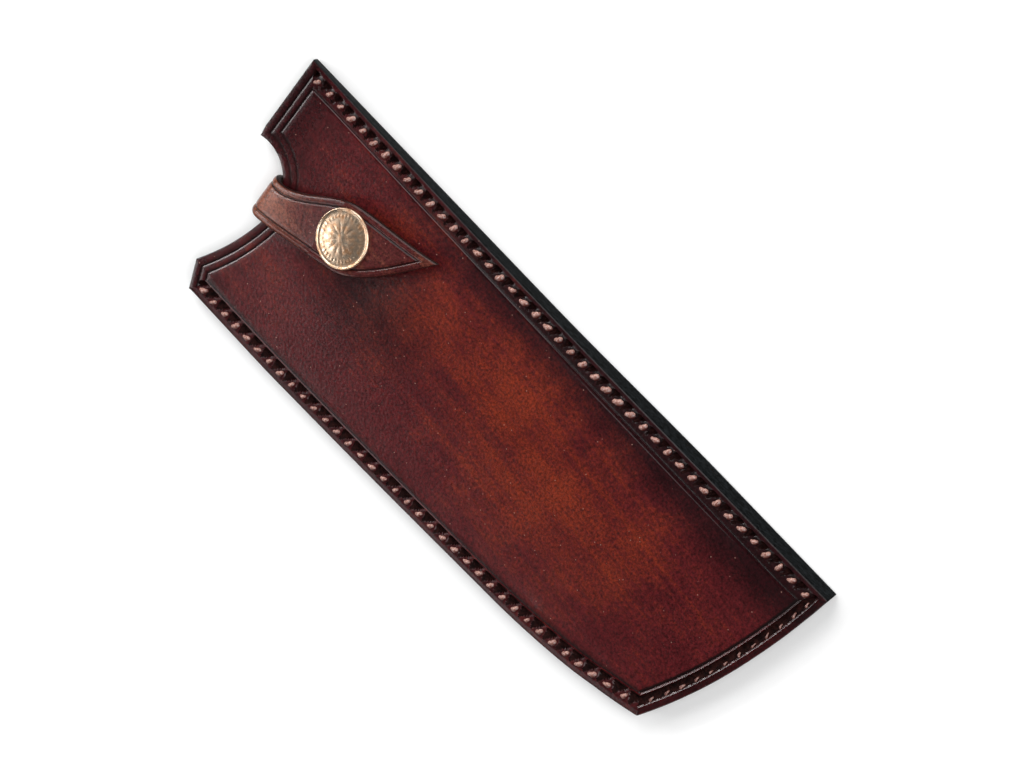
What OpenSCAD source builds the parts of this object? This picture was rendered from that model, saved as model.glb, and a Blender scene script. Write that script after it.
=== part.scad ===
// Leather blade sheath for a kitchen knife, closed by a snap strap that folds over the mouth.
// It lies on its back: +X runs from the mouth to the tip, +Y to the cutting-edge side, +Z up.
// The origin is the middle of the back face. Lengths are in millimetres, angles in degrees.

/* [Sheath] */
// Length of the cutting-edge side, from the mouth to the tip corner
sheath_l = 214; // [190:1:240]
// Width across the mouth, from the cutting-edge side to the spine side
sheath_w = 76; // [72:1:84]
// How far the spine-side tip corner lies back from the edge-side one
tip_back = 21; // [14:1:28]
// Radius of the curved tip edge
tip_r = 165; // [120:5:300]
// Length of the long slight bend of the spine edge, back from the tip
taper_l = 184; // [150:1:186]
// Radius of that long slight bend
taper_r = 2000; // [1600:50:4000]
// Length of the rounder bend of the spine edge near the tip
nose_l = 74; // [50:1:84]
// Radius of that rounder bend
nose_r = 270; // [220:10:500]

/* [Leather] */
// Thickness of the front panel
front_t = 2; // [1.6:0.1:3]
// Thickness of the back panel and of the strap cut in one with it
back_t = 2; // [1.6:0.1:2.6]
// Thickness of the welts, which sets the room for the blade
welt_t = 2; // [1.6:0.1:3]
// Width of the welts, from the outer edge inwards
welt_w = 7; // [6:0.5:10]
// Gap at the butt joints between the welts
welt_gap = 0.1; // [0.05:0.05:0.5]

/* [Mouth] */
// Radius of the round part of the notch
notch_r = 13.5; // [12.5:0.1:15]
// How far inside the mouth the centre of that round part lies
notch_in = 3.5; // [2:0.1:6]
// Distance of that centre from the cutting-edge side
notch_from_edge = 40; // [38:0.5:42]
// Radius of the long sweep from the notch to the spine-side corner
sweep_r = 70; // [55:1:100]
// Angle past square at which the round part runs into the sweep
sweep_turn = 10; // [5:1:15]
// Width of the cut-off corner at the spine side
corner_w = 8; // [5:0.5:11]
// Length of that cut-off corner along the sheath
corner_l = 3.7; // [2:0.1:6]

/* [Seams] */
// Distance between the holes of a seam
stitch_pitch = 5; // [4:0.1:6]
// Distance of the seams from the outer edge
stitch_inset = 3; // [2.5:0.1:4]
// Distance of the first hole from the mouth
seam_start = 3; // [2.5:0.1:6]
// Width of the waxed thread
thread_w = 1; // [0.6:0.1:1.4]
// Thickness of the thread as pulled flat
thread_t = 0.7; // [0.4:0.1:0.8]
// Room around the thread in its holes and grooves
thread_room = 0.2; // [0.1:0.05:0.3]
// Gap between neighbouring stitches, which share a hole
thread_gap = 0.3; // [0.2:0.05:0.6]
// How far the thread lies below the faces of the leather
thread_sink = 0.05; // [0.02:0.01:0.2]

/* [Strap] */
// Width of the strap at the fold
strap_w = 12.8; // [10:0.2:14]
// Distance of the strap from the cutting-edge side at the fold
strap_from_edge = 31.6; // [30.5:0.1:33]
// Angle by which the strap leans towards the cutting-edge side
strap_lean = 12.7; // [8:0.1:16]
// Width of the strap's leaf at the snap
leaf_w = 20.2; // [19:0.1:24]
// Distance of the strap's point from the mouth
point_from_mouth = 68.7; // [64:0.1:76]
// Distance of the strap's point from the cutting-edge side
point_from_edge = 13.2; // [10:0.1:18]
// Angle of the spine-side cut that runs up to the point
point_cut = 54; // [45:1:65]
// Radius of the slight droop beyond the snap
droop_r = 130; // [90:5:300]
// Gap between the fold and the front face
fold_gap = 0.8; // [0.5:0.1:1.5]
// Gap between the inside of the fold and the edge of the notch
fold_clear = 0.3; // [0.3:0.05:0.8]
// Gap at the crown of the fold, where the strap bends
bend_gap = 0.3; // [0.3:0.05:0.6]
// Length over which the strap keeps its direction beyond the fold
fold_hold = 10; // [6:0.5:12]
// Length over which the leaf's edges keep the strap's direction beside the snap
shoulder_hold = 9; // [6:0.5:11]
// Length over which the spine-side cut keeps its direction at the point
point_hold = 14; // [8:0.5:18]
// Width of the slots that free the strap from the back panel
relief_w = 0.6; // [0.4:0.1:1]

/* [Snap] */
// Distance of the snap from the mouth
snap_from_mouth = 42.2; // [40:0.1:46]
// Distance of the snap from the cutting-edge side
snap_from_edge = 27.7; // [26:0.1:29]
// Diameter of the cap
cap_d = 17.5; // [14:0.1:19]
// Height of the cap's rim above the strap
cap_h = 1.3; // [1:0.1:2]
// Width of the cap's raised rim
cap_rim = 1; // [0.6:0.1:1.6]
// Depth of the cap's face below the rim
cap_dish = 0.3; // [0.1:0.05:0.5]
// Outside diameter of the cap's rivet tube
tube_d = 4; // [3.4:0.1:4.4]
// Wall of that tube
tube_wall = 0.6; // [0.4:0.05:0.8]
// Width by which the tube's end is rolled over
tube_lip = 0.5; // [0.3:0.05:0.6]
// Diameter of the socket's flange under the strap
socket_d = 12.4; // [11.6:0.1:14]
// Diameter of the socket's barrel
barrel_d = 10.4; // [10:0.1:11]
// Height of the socket
socket_h = 2.4; // [2.2:0.1:3]
// Thickness of the socket's flange and roof
socket_t = 0.5; // [0.4:0.05:0.7]
// Diameter of the stud's head
stud_d = 6; // [5.4:0.1:6.4]
// Diameter of the stud's flange
stud_base_d = 10.6; // [9:0.1:12]
// Thickness of the stud's flange
stud_base_t = 0.7; // [0.5:0.05:1]
// How much slimmer the stud's neck is than its head, on each side
stud_neck = 0.3; // [0.1:0.05:0.4]
// Height of the stud's head above its neck
stud_head_h = 0.7; // [0.5:0.05:0.8]
// How far the stud's head reaches into the socket
stud_grip = 0.9; // [0.6:0.05:1]
// Room around the stud's head in the socket
stud_room = 0.45; // [0.4:0.05:0.6]
// Gap between the stud's flange and the closed socket
snap_gap = 0.3; // [0.2:0.05:0.6]
// Width of the spring ring's wire
spring_w = 0.7; // [0.5:0.05:0.8]
// Height of the spring ring's wire
spring_h = 0.5; // [0.4:0.05:0.6]
// Diameter of the rivet's flange inside the front panel
rivet_flange_d = 9; // [7.5:0.1:10]
// Thickness of that flange, let into the leather
rivet_flange_t = 0.6; // [0.4:0.05:0.8]
// Diameter of the rivet's shank
rivet_d = 3.4; // [3:0.1:3.8]
// Radial room of the rivets and the spring ring in their holes
rivet_room = 0.05; // [0.02:0.01:0.1]

/* [Hidden] */
$fn = 64;
// A length that reaches past every piece, for cuts
far = sheath_l + sheath_w;
// A little more than a cut needs, so that it opens the face, and the lap of two joined shapes
past = 1;
// Straight pieces that stand for a round stretch
steps = 14;

// Heights of the layers
welt_z = back_t;
front_z = welt_z + welt_t;
top_z = front_z + front_t;

// Spine edge, as its distance from the cutting-edge side at a place along the sheath
nose_u = sheath_l - tip_back;
function bend(r, s) = s > 0 ? r - sqrt(r * r - s * s) : 0;
function bend_slope(r, s) = s > 0 ? s / sqrt(r * r - s * s) : 0;
function spine_v(u) = sheath_w - bend(taper_r, u - sheath_l + taper_l) - bend(nose_r, u - sheath_l + nose_l);
function spine_slope(u) =
    -bend_slope(taper_r, u - sheath_l + taper_l) - bend_slope(nose_r, u - sheath_l + nose_l);

// Tip edge, an arc between the two tip corners
tip_chord = [nose_u - sheath_l, spine_v(nose_u)];
tip_half = norm(tip_chord) / 2;
tip_side = [-tip_chord[1], tip_chord[0]] / norm(tip_chord);
tip_c = [sheath_l, 0] + tip_chord / 2 + sqrt(tip_r * tip_r - tip_half * tip_half) * tip_side;
tip_a = atan2(-tip_c[1], sheath_l - tip_c[0]);
tip_arc_l = 2 * asin(tip_half / tip_r) * PI / 180 * tip_r;

// A place on each outer edge, by its distance along the edge and its distance inwards
function place(u, v) = [u - sheath_l / 2, sheath_w / 2 - v];
function polar(c, r, a) = c + r * [cos(a), sin(a)];
function arc(c, r, a, b) = [for (i = [0 : steps]) polar(c, r, a + (b - a) * i / steps)];
edge_at = function (s, inset) [s, inset];
tip_at = function (s, inset) polar(tip_c, tip_r - inset, tip_a + s / tip_r * 180 / PI);
spine_at = function (s, inset)
    let (n = sqrt(1 + spine_slope(s) ^ 2))
    [s + inset * spine_slope(s) / n, spine_v(s) - inset / n];

// Mouth: a round notch that runs into a long sweep, and a cut-off corner at the spine side
notch_c = [notch_in, notch_from_edge];
sweep_c = notch_c - polar([0, 0], sweep_r - notch_r, sweep_turn);
corner_v = sheath_w - corner_w;
sweep_end = asin((corner_v - sweep_c[1]) / sweep_r);
corner_u = polar(sweep_c, sweep_r, sweep_end)[0] + corner_l;
notch_end = -90 - asin(notch_in / notch_r);
function notch_u(v) = notch_in + sqrt(notch_r ^ 2 - (v - notch_from_edge) ^ 2);
function sweep_u(v) = sweep_c[0] + sqrt(sweep_r ^ 2 - (v - sweep_c[1]) ^ 2);

// Seams: the edge that each follows, its first hole and its number of stitches
function stitches(from, to) = floor((to - from) / stitch_pitch);
seam_turn = stitch_inset + stitch_pitch / 2;
spine_start = corner_u + seam_start;
edge_seam = [edge_at, seam_start, stitches(seam_start, sheath_l - seam_turn)];
tip_seam = [tip_at, seam_turn, stitches(seam_turn, tip_arc_l - seam_turn)];
spine_seam = [spine_at, spine_start, stitches(spine_start, nose_u - stitch_inset)];
seams = [edge_seam, tip_seam, spine_seam];
slit_l = 2 * thread_t + thread_gap + 2 * thread_room;
slit_w = thread_w + thread_room;
groove_t = thread_t + 2 * thread_sink;

// Strap: a fold round the mouth, a rise to the snap, a flat seat for it and a slight droop
strap_v = [strap_from_edge, strap_from_edge + strap_w];
fold_r = (welt_t + front_t + fold_gap) / 2;
fold_out_r = fold_r + back_t;
fold_mid_r = fold_r + back_t / 2;
fold_z = welt_z + fold_r;
fold_u = min(notch_u(strap_v[0]), sweep_u(strap_v[1])) - fold_clear
       + sqrt(fold_gap * (2 * fold_r - fold_gap));
fold_c = [fold_u, fold_z];
crown_turn = bend_gap / 2 / fold_mid_r * 180 / PI;
snap_at = [snap_from_mouth, snap_from_edge];
under_z = top_z + stud_base_t + snap_gap + socket_h;
strap_z = under_z + back_t / 2;
seat = [snap_from_mouth - socket_d / 2, snap_from_mouth + socket_d / 2];
rise = [seat[0], strap_z] - fold_c;
rise_a = atan2(rise[1], rise[0]) - asin(fold_mid_r / norm(rise));
droop_l = point_from_mouth - seat[1];
lean = polar([0, 0], 1, -strap_lean);
across = polar([0, 0], leaf_w / 2, 90 - strap_lean);
point = [point_from_mouth, point_from_edge];

// Heights in the snap
cap_z = under_z + back_t;
socket_z = under_z - socket_h;
roof_z = under_z - socket_t;
bore_r = stud_d / 2 + stud_room;
spring_z = socket_z + (socket_h - spring_h) / 2;
stud_top_z = socket_z + stud_grip;
rivet_top_z = stud_top_z - stud_base_t;

// Closed band along an edge, between two distances inwards
function band(at, from, to, outer, inner) =
    concat([for (i = [0 : 2 * steps]) at(from + (to - from) * i / steps / 2, outer)],
           [for (i = [2 * steps : -1 : 0]) at(from + (to - from) * i / steps / 2, inner)]);
function seam_end(seam) = seam[1] + seam[2] * stitch_pitch;
function turn(seam, s) =
    let (d = seam[0](s + 1, stitch_inset) - seam[0](s - 1, stitch_inset)) atan2(-d[1], d[0]);
function bezier(a, b, c, d) =
    [for (i = [1 : steps]) let (t = i / steps, m = 1 - t)
        m ^ 3 * a + 3 * m * m * t * b + 3 * m * t * t * c + t ^ 3 * d];
// One side of a strip that follows a path, with the path's direction given at both ends
function strip_side(path, first, last, off) =
    [for (i = [0 : len(path) - 1])
        let (d = i == 0 ? first : i == len(path) - 1 ? last : path[i + 1] - path[i - 1])
        path[i] + off / norm(d) * [-d[1], d[0]]];
// Corners of a rectangle between two places along the sheath and two across it
function block(u, v) = [[u[0], v[0]], [u[1], v[0]], [u[1], v[1]], [u[0], v[1]]];
function reversed(list) = [for (i = [len(list) - 1 : -1 : 0]) list[i]];

// Flat shape from places along and across the sheath
module shape(points) {
    polygon([for (p = points) place(p[0], p[1])]);
}

module outline() {
    shape(concat([[0, 0]],
                 [for (i = [0 : 2 * steps]) tip_at(tip_arc_l * i / steps / 2, 0)],
                 [for (i = [2 * steps : -1 : 0]) spine_at(corner_u + (nose_u - corner_u) * i / steps / 2, 0)],
                 arc(sweep_c, sweep_r, sweep_end, sweep_turn),
                 arc(notch_c, notch_r, sweep_turn, notch_end)));
}

// What follows, put at a hole or a stitch of a seam
module along(seam, s) {
    p = seam[0](s, stitch_inset);
    translate(place(p[0], p[1])) rotate(turn(seam, s)) children();
}

// Slanted-awl holes of the seams, seen from above
module seam_holes() {
    for (seam = seams)
        for (i = [0 : seam[2]])
            along(seam, seam[1] + i * stitch_pitch) square([slit_l, slit_w], center = true);
}

// Grooves that let the seams lie below a face
module seam_grooves(z) {
    for (seam = seams)
        translate([0, 0, z]) linear_extrude(groove_t)
            shape(band(seam[0], seam[1] - slit_l / 2, seam_end(seam) + slit_l / 2,
                       stitch_inset - slit_w / 2, stitch_inset + slit_w / 2));
}

// One stitch: a closed loop of thread through two neighbouring holes, on both faces
module stitch() {
    l = stitch_pitch - thread_gap;
    h = top_z - 2 * thread_sink;
    translate([0, thread_w / 2, thread_sink]) rotate([90, 0, 0]) linear_extrude(thread_w)
        difference() {
            translate([-l / 2, 0]) square([l, h]);
            translate([thread_t - l / 2, thread_t]) square([l - 2 * thread_t, h - 2 * thread_t]);
        }
}

module thread(seam) {
    color("rosybrown")
        for (i = [0 : seam[2] - 1])
            along(seam, seam[1] + (i + 0.5) * stitch_pitch) stitch();
}

module welt(outer_band) {
    color("#1b1716") translate([0, 0, welt_z]) linear_extrude(welt_t)
        difference() {
            intersection() {
                outline();
                shape(outer_band);
            }
            children();
            seam_holes();
        }
}

module edge_welt() {
    welt(band(edge_at, 0, sheath_l, 0, welt_w));
}

module spine_welt() {
    welt(band(spine_at, 0, nose_u + welt_w, 0, welt_w));
}

// The tip welt fits between the other two
module tip_welt() {
    welt(band(tip_at, 0, tip_arc_l, 0, welt_w)) {
        shape(band(edge_at, 0, far, -far, welt_w + welt_gap));
        shape(band(spine_at, corner_u, nose_u + welt_w, -welt_w, welt_w + welt_gap));
    }
}

// Lower quarter of the fold, up to the crown, with a lap that joins it to the back panel
module fold_root() {
    translate([0, place(0, strap_v[0])[1], 0]) rotate([90, 0, 0]) linear_extrude(strap_w)
        translate([-sheath_l / 2, 0])
            polygon(concat([[fold_u + past, 0], [fold_u + past, back_t]],
                           arc(fold_c, fold_r, 270, 180 + crown_turn),
                           arc(fold_c, fold_out_r, 180 + crown_turn, 270)));
}

// The back panel runs out through the notch as the root of the strap
module back_panel() {
    slots = [strap_v[0] - relief_w, strap_v[1] + relief_w];
    color("#4a1e1a")
        union() {
            difference() {
                linear_extrude(back_t)
                    union() {
                        difference() {
                            outline();
                            shape(block([-far, fold_u], slots));
                            seam_holes();
                        }
                        shape(block([fold_u, fold_u + notch_r], strap_v));
                    }
                translate([0, 0, groove_t]) mirror([0, 0, 1]) seam_grooves(0);
            }
            fold_root();
        }
}

module front_panel() {
    color("#5a241c")
        difference() {
            translate([0, 0, front_z]) linear_extrude(front_t)
                difference() {
                    outline();
                    seam_holes();
                }
            seam_grooves(top_z - groove_t);
            at_snap(front_z - past) cylinder(h = front_t + 2 * past, d = rivet_d + 2 * rivet_room);
            at_snap(front_z - past)
                cylinder(h = past + rivet_flange_t + rivet_room, d = rivet_flange_d + 2 * rivet_room);
        }
}

// The strap seen from above: a leaf that leans towards the cutting-edge side
module leaf() {
    edge_shoulder = snap_at - across;
    spine_shoulder = snap_at + across;
    edge_start = [fold_u, strap_v[0]];
    shape(concat([[0, strap_v[0]], edge_start],
                 bezier(edge_start, edge_start + fold_hold * lean,
                        edge_shoulder - shoulder_hold * lean, edge_shoulder),
                 bezier(edge_shoulder, edge_shoulder + shoulder_hold * lean,
                        point - shoulder_hold * lean, point),
                 bezier(point, point - polar([0, 0], point_hold, -point_cut),
                        spine_shoulder + shoulder_hold * lean, spine_shoulder),
                 [[fold_u, strap_v[1]], [0, strap_v[1]]]));
}

// The strap seen from the side, from the crown of the fold to the point
module strap_profile() {
    path = concat(arc(fold_c, fold_mid_r, 180 - crown_turn, 90 + rise_a),
                  [[seat[0], strap_z]],
                  [for (i = [0 : steps]) let (s = (droop_l + past) * i / steps)
                      [seat[1] + s, strap_z - bend(droop_r, s)]]);
    first = polar([0, 0], 1, 90 - crown_turn);
    last = [1, -bend_slope(droop_r, droop_l + past)];
    translate([-sheath_l / 2, 0])
        polygon(concat(strip_side(path, first, last, back_t / 2),
                       reversed(strip_side(path, first, last, -back_t / 2))));
}

module strap_tongue() {
    color("#64302a")
        difference() {
            intersection() {
                translate([0, sheath_w / 2, 0]) rotate([90, 0, 0]) linear_extrude(sheath_w) strap_profile();
                linear_extrude(cap_z + cap_h) leaf();
            }
            at_snap(0) cylinder(h = cap_z + cap_h, d = tube_d + 2 * rivet_room);
        }
}

module at_snap(z) {
    p = place(snap_at[0], snap_at[1]);
    translate([p[0], p[1], z]) children();
}

// The cap has a raised rim and a rivet tube that is rolled over under the socket's roof
module snap_cap() {
    r = cap_d / 2;
    tube_r = tube_d / 2;
    lip_z = roof_z - tube_wall / 2 - cap_z;
    color("#c9a870") at_snap(cap_z) rotate_extrude()
        polygon([[0, cap_h - cap_dish - tube_wall],
                 [tube_r - tube_wall, cap_h - cap_dish - tube_wall],
                 [tube_r - tube_wall, lip_z],
                 [tube_r + tube_lip, lip_z],
                 [tube_r + tube_lip, roof_z - cap_z],
                 [tube_r, roof_z - cap_z],
                 [tube_r, 0],
                 [r, 0],
                 [r, cap_h - cap_rim / 2],
                 [r - cap_rim / 3, cap_h],
                 [r - cap_rim * 2 / 3, cap_h],
                 [r - cap_rim, cap_h - cap_dish],
                 [0, cap_h - cap_dish]]);
}

// The socket's barrel holds the spring ring in a groove
module snap_socket() {
    groove_r = bore_r + spring_w + rivet_room;
    color("#b08d57") at_snap(socket_z) rotate_extrude()
        polygon([[bore_r, 0],
                 [barrel_d / 2, 0],
                 [barrel_d / 2, socket_h - socket_t],
                 [socket_d / 2, socket_h - socket_t],
                 [socket_d / 2, socket_h],
                 [tube_d / 2 + rivet_room, socket_h],
                 [tube_d / 2 + rivet_room, socket_h - socket_t],
                 [bore_r, socket_h - socket_t],
                 [bore_r, spring_z - socket_z + spring_h + rivet_room],
                 [groove_r, spring_z - socket_z + spring_h + rivet_room],
                 [groove_r, spring_z - socket_z - rivet_room],
                 [bore_r, spring_z - socket_z - rivet_room]]);
}

// The spring is a split ring of square wire
module snap_spring() {
    color("silver") at_snap(spring_z) rotate_extrude(angle = 330)
        translate([bore_r, 0]) square([spring_w, spring_h]);
}

// The stud has a flange on the front panel and a rounded head
module snap_stud() {
    stud_h = stud_top_z - top_z;
    head_z = stud_h - stud_head_h;
    r = stud_d / 2;
    color("#b08d57") at_snap(top_z) rotate_extrude()
        polygon([[rivet_d / 2 + rivet_room, 0],
                 [stud_base_d / 2, 0],
                 [stud_base_d / 2, stud_base_t],
                 [r - stud_neck, stud_base_t],
                 [r - stud_neck, head_z - stud_neck],
                 [r, head_z],
                 [r, stud_h - stud_head_h / 2],
                 [r - stud_head_h / 2, stud_h],
                 [0, stud_h],
                 [0, rivet_top_z + rivet_room - top_z],
                 [rivet_d / 2 + rivet_room, rivet_top_z + rivet_room - top_z]]);
}

// The rivet comes through the front panel from the blade's side and holds the stud
module snap_rivet() {
    color("#b08d57") union() {
        at_snap(front_z) cylinder(h = rivet_flange_t, d = rivet_flange_d);
        at_snap(front_z) cylinder(h = rivet_top_z - front_z, d = rivet_d);
    }
}

back_panel();
front_panel();
edge_welt();
tip_welt();
spine_welt();
thread(edge_seam);  // edge_thread
thread(tip_seam);  // tip_thread
thread(spine_seam);  // spine_thread
strap_tongue();
snap_cap();
snap_socket();
snap_spring();
snap_stud();
snap_rivet();
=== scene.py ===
"""Leather sheath for a kitchen knife, closed by a snap strap that folds over its mouth.

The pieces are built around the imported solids, in metres, in the same frame: +X runs from the mouth
to the tip, +Y to the cutting-edge side and +Z up out of the front face. Lengths named here are in
millimetres, and a place on the sheath is given as u, its distance from the mouth, and v, its
distance inwards from the cutting-edge side.
"""
import math
import random

import bmesh
import bpy
from mathutils import Matrix, Vector
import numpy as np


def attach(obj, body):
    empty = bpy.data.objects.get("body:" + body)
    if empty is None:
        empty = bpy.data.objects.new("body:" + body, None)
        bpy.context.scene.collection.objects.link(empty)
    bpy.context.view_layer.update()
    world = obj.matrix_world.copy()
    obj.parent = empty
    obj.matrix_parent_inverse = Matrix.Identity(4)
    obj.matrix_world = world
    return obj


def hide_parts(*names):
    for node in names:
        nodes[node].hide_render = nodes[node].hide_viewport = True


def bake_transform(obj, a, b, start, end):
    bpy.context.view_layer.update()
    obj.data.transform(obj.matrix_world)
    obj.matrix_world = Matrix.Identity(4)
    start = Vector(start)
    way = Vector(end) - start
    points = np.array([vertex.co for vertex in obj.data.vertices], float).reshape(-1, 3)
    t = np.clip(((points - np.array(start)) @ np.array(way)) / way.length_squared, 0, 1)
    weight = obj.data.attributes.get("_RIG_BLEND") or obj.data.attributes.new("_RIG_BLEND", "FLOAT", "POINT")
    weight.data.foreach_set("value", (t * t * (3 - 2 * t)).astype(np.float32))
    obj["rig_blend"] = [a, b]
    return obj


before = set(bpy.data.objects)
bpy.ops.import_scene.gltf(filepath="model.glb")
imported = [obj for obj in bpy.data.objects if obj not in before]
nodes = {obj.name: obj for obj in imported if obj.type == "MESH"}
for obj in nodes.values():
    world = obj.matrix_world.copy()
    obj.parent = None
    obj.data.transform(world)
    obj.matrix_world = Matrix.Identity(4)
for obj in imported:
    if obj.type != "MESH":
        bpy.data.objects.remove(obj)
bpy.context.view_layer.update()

MM = 0.001

# Sheath outline, as in the part's source
SHEATH_L = 214.0
SHEATH_W = 76.0
TIP_BACK = 21.0
TIP_R = 165.0
TAPER = (2000.0, 30.0)
NOSE = (270.0, 140.0)
NOTCH_R = 13.5
NOTCH_C = Vector((3.5, 40.0))
SWEEP_R = 70.0
SWEEP_TURN = math.radians(10)
CORNER_W = 8.0
CORNER_L = 3.7
BACK_T = 2.0
FRONT_Z = 4.0
TOP_Z = 6.0

# Strap, as in the part's source
STRAP_V = (31.6, 44.4)
FOLD_U = 15.557
FOLD_Z = 4.4
FOLD_MID_R = 3.4
SNAP_UV = Vector((42.2, 27.7))
SEAT = (36.0, 48.4)
SEAT_Z = 10.4
DROOP_R = 130.0
LEAN = math.radians(12.7)
LEAF_W = 20.2
POINT = Vector((68.7, 13.2))
POINT_CUT = math.radians(54)
CAP_Z = 11.4


def polar(centre, r, a):
    """The place at a distance and an angle from a centre."""
    return centre + r * Vector((math.cos(a), math.sin(a)))


def place(uv, z):
    """A place on the sheath, in metres in the shared frame."""
    return Vector((uv[0] - SHEATH_L / 2, SHEATH_W / 2 - uv[1], z)) * MM


def bend(r, s):
    """How far a curve of radius r has left its tangent after a length s."""
    return r - math.sqrt(r * r - s * s) if s > 0 else 0.0


def spine_v(u):
    """How far the spine lies from the cutting-edge side."""
    return SHEATH_W - sum(bend(r, u - start) for r, start in (TAPER, NOSE))


# Each side of the outline gives a place by its distance along the side and its distance inwards
NOSE_U = SHEATH_L - TIP_BACK
TIP_CORNER = Vector((SHEATH_L, 0))
tip_chord = Vector((NOSE_U, spine_v(NOSE_U))) - TIP_CORNER
tip_half = tip_chord.length / 2
TIP_C = (TIP_CORNER + tip_chord / 2
         + math.sqrt(TIP_R ** 2 - tip_half ** 2) * Vector((-tip_chord.y, tip_chord.x)).normalized())
TIP_A = math.atan2(-TIP_C.y, SHEATH_L - TIP_C.x)
TIP_ARC = 2 * math.asin(tip_half / TIP_R) * TIP_R
SWEEP_C = NOTCH_C - polar(Vector((0, 0)), SWEEP_R - NOTCH_R, SWEEP_TURN)
SWEEP_END = math.asin((SHEATH_W - CORNER_W - SWEEP_C.y) / SWEEP_R)
SWEEP_L = (SWEEP_END - SWEEP_TURN) * SWEEP_R
NOTCH_END = -math.pi / 2 - math.asin(NOTCH_C.x / NOTCH_R)
MOUTH_CURVE_L = SWEEP_L + (SWEEP_TURN - NOTCH_END) * NOTCH_R
CORNER_M = polar(SWEEP_C, SWEEP_R, SWEEP_END)
CORNER_LOW = Vector((CORNER_M.x + CORNER_L, SHEATH_W))
LIP_V = polar(NOTCH_C, NOTCH_R, NOTCH_END).y


def edge_at(t, d):
    return Vector((t, d))


def tip_at(t, d):
    return polar(TIP_C, TIP_R - d, TIP_A + t / TIP_R)


def spine_at(t, d):
    slope = spine_v(t + 0.5) - spine_v(t - 0.5)
    return Vector((t, spine_v(t))) + d * Vector((slope, -1)).normalized()


def cut_at(t, d):
    along = (CORNER_M - CORNER_LOW).normalized()
    return CORNER_LOW + t * along + d * Vector((-along.y, along.x))


def mouth_curve_at(t, d):
    if t < SWEEP_L:
        return polar(SWEEP_C, SWEEP_R + d, SWEEP_END - t / SWEEP_R)
    return polar(NOTCH_C, NOTCH_R + d, SWEEP_TURN - (t - SWEEP_L) / NOTCH_R)


def lip_at(t, d):
    return Vector((d, LIP_V - t))


# The six sides in order round the sheath: how a place is found, and its two ends
SIDES = ((edge_at, 0, SHEATH_L),
         (tip_at, 0, TIP_ARC),
         (spine_at, NOSE_U, CORNER_LOW.x),
         (cut_at, 0, (CORNER_M - CORNER_LOW).length),
         (mouth_curve_at, 0, MOUTH_CURVE_L),
         (lip_at, 0, LIP_V))
# Seams that meet in the corner holes: the side, how far in the thread lies, the first and last hole,
# the number of stitches, how the holes slant inwards and half their length
SEAMS = {"edge": (edge_at, 3.55, 2.4, 210.6, 42, -0.45, 0.5),
         "tip": (tip_at, 2.95, 3.3, TIP_ARC - 3.1, 12, 0.3, 0.8),
         "spine": (spine_at, 2.75, 11.9, 190.0, 36, 0.45, 0.8)}


def meet(side_a, ta, da, side_b, tb, db):
    """Distances along two drawn-in sides at the corner where they cross."""
    step = 0.01
    for _ in range(15):
        pa, pb = side_a(ta, da), side_b(tb, db)
        ga = (side_a(ta + step, da) - pa) / step
        gb = (side_b(tb + step, db) - pb) / step
        gap = pb - pa
        turn = gb.x * ga.y - ga.x * gb.y
        ta += (gb.x * gap.y - gb.y * gap.x) / turn
        tb += (ga.x * gap.y - ga.y * gap.x) / turn
    return ta, tb


def clamp(x):
    return min(1.0, max(0.0, x))


def smooth_step(x):
    x = clamp(x)
    return x * x * (3 - 2 * x)


# How far in from a side its trimming is felt, where the long sides are hollowest, and how far the lip's
# foot and face stand out
TRIM_REACH = 12.0
TIP_TRIM_REACH = 10.0
EDGE_HOLLOW_U = 110.0
SPINE_HOLLOW_U = 115.0
LIP_FOOT = 2.2
LIP_FACE = 0.45


def trimmed(uv, z):
    """The place after trimming by hand. The face bows inwards along the cutting edge and the spine and
    stands out along the tip, most towards the spine, and the foot of the wall leans."""
    u, v = uv
    high = clamp(z / TOP_Z)
    by_edge = max(0.0, 1 - v / TRIM_REACH)
    far = (u - EDGE_HOLLOW_U) / EDGE_HOLLOW_U
    edge_face = 0.85 - (1.9 if far < 0 else 0.6) * far * far
    edge_foot = 0.3 - 1.05 * smooth_step((u - 100) / 70)
    by_spine = clamp(1 - (spine_v(u) - v) / TRIM_REACH)
    away = (u - SPINE_HOLLOW_U) / (70 if u < SPINE_HOLLOW_U else 57)
    spine = 0.1 - (0.65 if u < SPINE_HOLLOW_U else 0.95) * min(1.0, away * away)
    by_lip = max(0.0, 1 - u / 8) * max(0.0, 1 - v / LIP_V)
    on_lip = max(0.0, 1 - u / 10) * smooth_step((LIP_V - v) / 4)
    by_tip = 1 - clamp((TIP_R - (Vector(uv) - TIP_C).length) / TIP_TRIM_REACH) ** 2.5
    tip_face = 0.6 + 0.75 * smooth_step((v - 22) / 34)
    tip_foot = -0.35 - 1.4 * smooth_step(v / 12) + 1.45 * smooth_step((v - 14) / 48)
    return Vector((u + by_tip * (high * tip_face + (1 - high) * tip_foot)
                   - LIP_FOOT * (1 - high) * by_lip - LIP_FACE * high * on_lip,
                   v + by_edge * (high * edge_face + (1 - high) * edge_foot) - by_spine * spine))


def ring_stations(sides, insets, spacing):
    """Side number and distance along it for each point of an outline drawn in by its insets."""
    count = len(sides)
    corners = []
    for k in range(count):
        n = (k + 1) % count
        corners.append(meet(sides[k][0], sides[k][2], insets[k], sides[n][0], sides[n][1], insets[n]))
    stations = []
    for k in range(count):
        first, last = corners[k - 1][1], corners[k][0]
        parts = max(2, round(abs(sides[k][2] - sides[k][1]) / spacing))
        stations += [(k, first + (last - first) * i / parts) for i in range(parts)]
    return stations


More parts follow.
